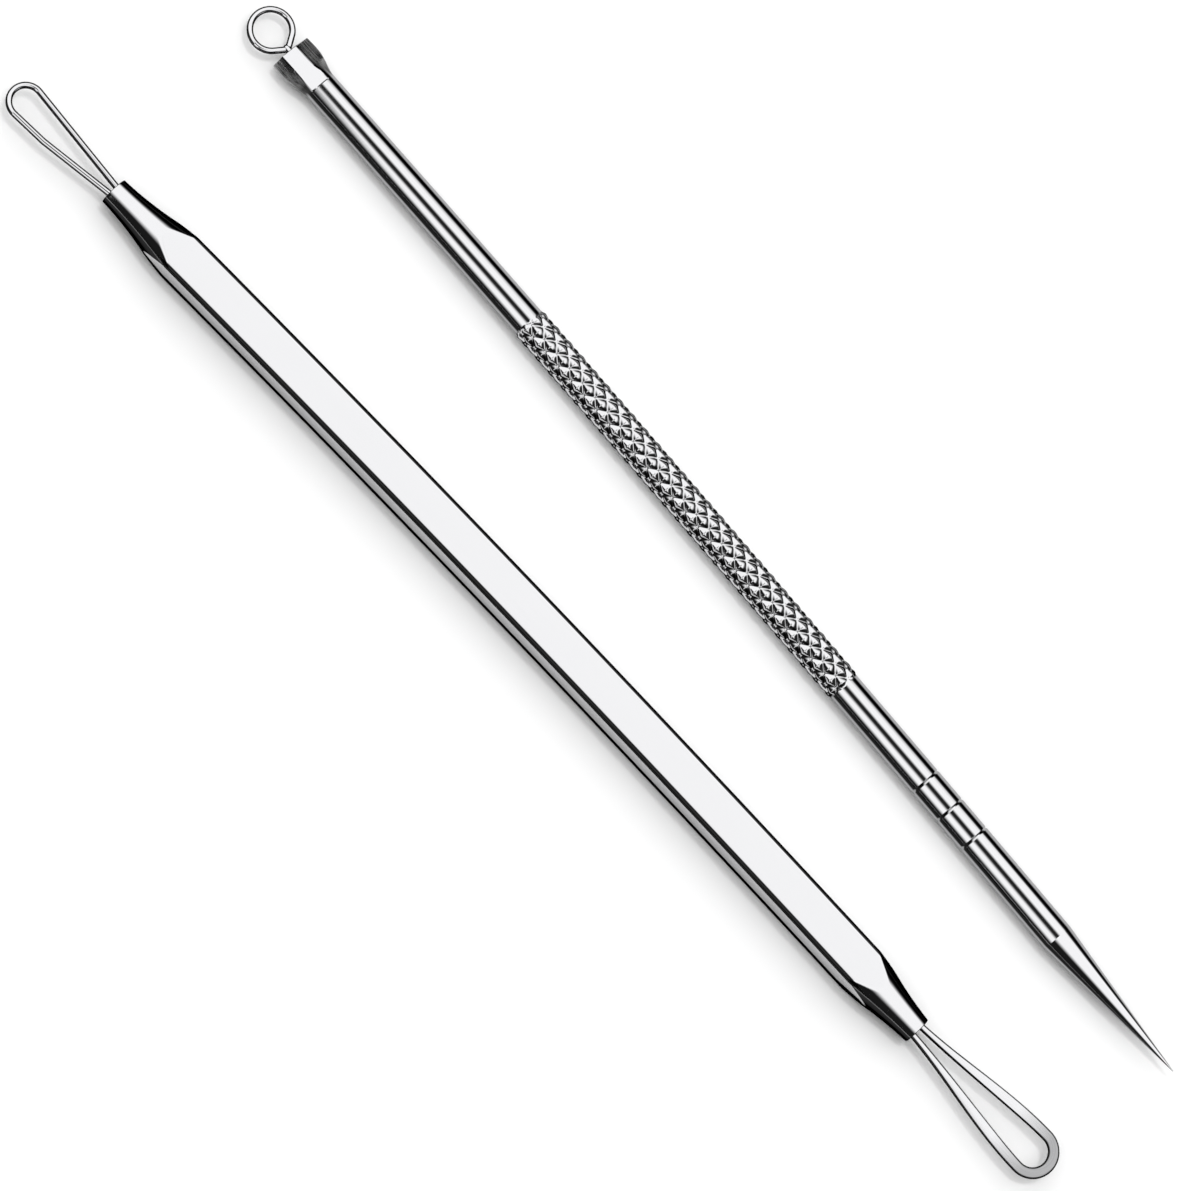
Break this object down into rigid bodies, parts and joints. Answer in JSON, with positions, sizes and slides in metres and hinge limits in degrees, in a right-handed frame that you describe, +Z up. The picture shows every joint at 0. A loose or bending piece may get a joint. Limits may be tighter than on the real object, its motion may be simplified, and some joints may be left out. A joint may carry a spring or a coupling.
{
  "type": "blackhead extractor set",
  "caption": "Pair of polished steel skin tools: a square handle with a narrow and a wide wire loop, and a knurled round handle with a ring and a needle point.",
  "frame": {"origin": "on the table, under the middle of the box round both tools as they lie", "axes": "+X along the square handle from the narrow loop to the wide loop, +Y towards the needle tool, +Z up from the table"},
  "size_m": [0.1318, 0.0248, 0.004],
  "materials": {
    "handle_steel": "mirror polished stainless steel with faint lengthwise polishing lines",
    "knurled_steel": "polished stainless steel with faint turning lines and a rolled knurl",
    "loop_wire": "bright drawn stainless steel wire",
    "loop_strip": "pressed and lightly brushed stainless steel strip",
    "braze": "silver braze filler, satin"
  },
  "bodies": {
    "loop_tool": {"square_handle": "handle_steel", "narrow_loop": "loop_wire", "wide_loop": "loop_strip", "narrow_loop_braze": "braze", "wide_loop_braze": "braze"},
    "needle_tool": {"round_handle": "knurled_steel", "ring_stem": "loop_wire", "ring_loop": "loop_wire"}
  },
  "joints": [
    {"name": "needle_tool_lift", "type": "slide", "parent": "loop_tool", "child": "needle_tool", "axis": [0, 0, 1], "range_m": [0, 0.06]}
  ]
}
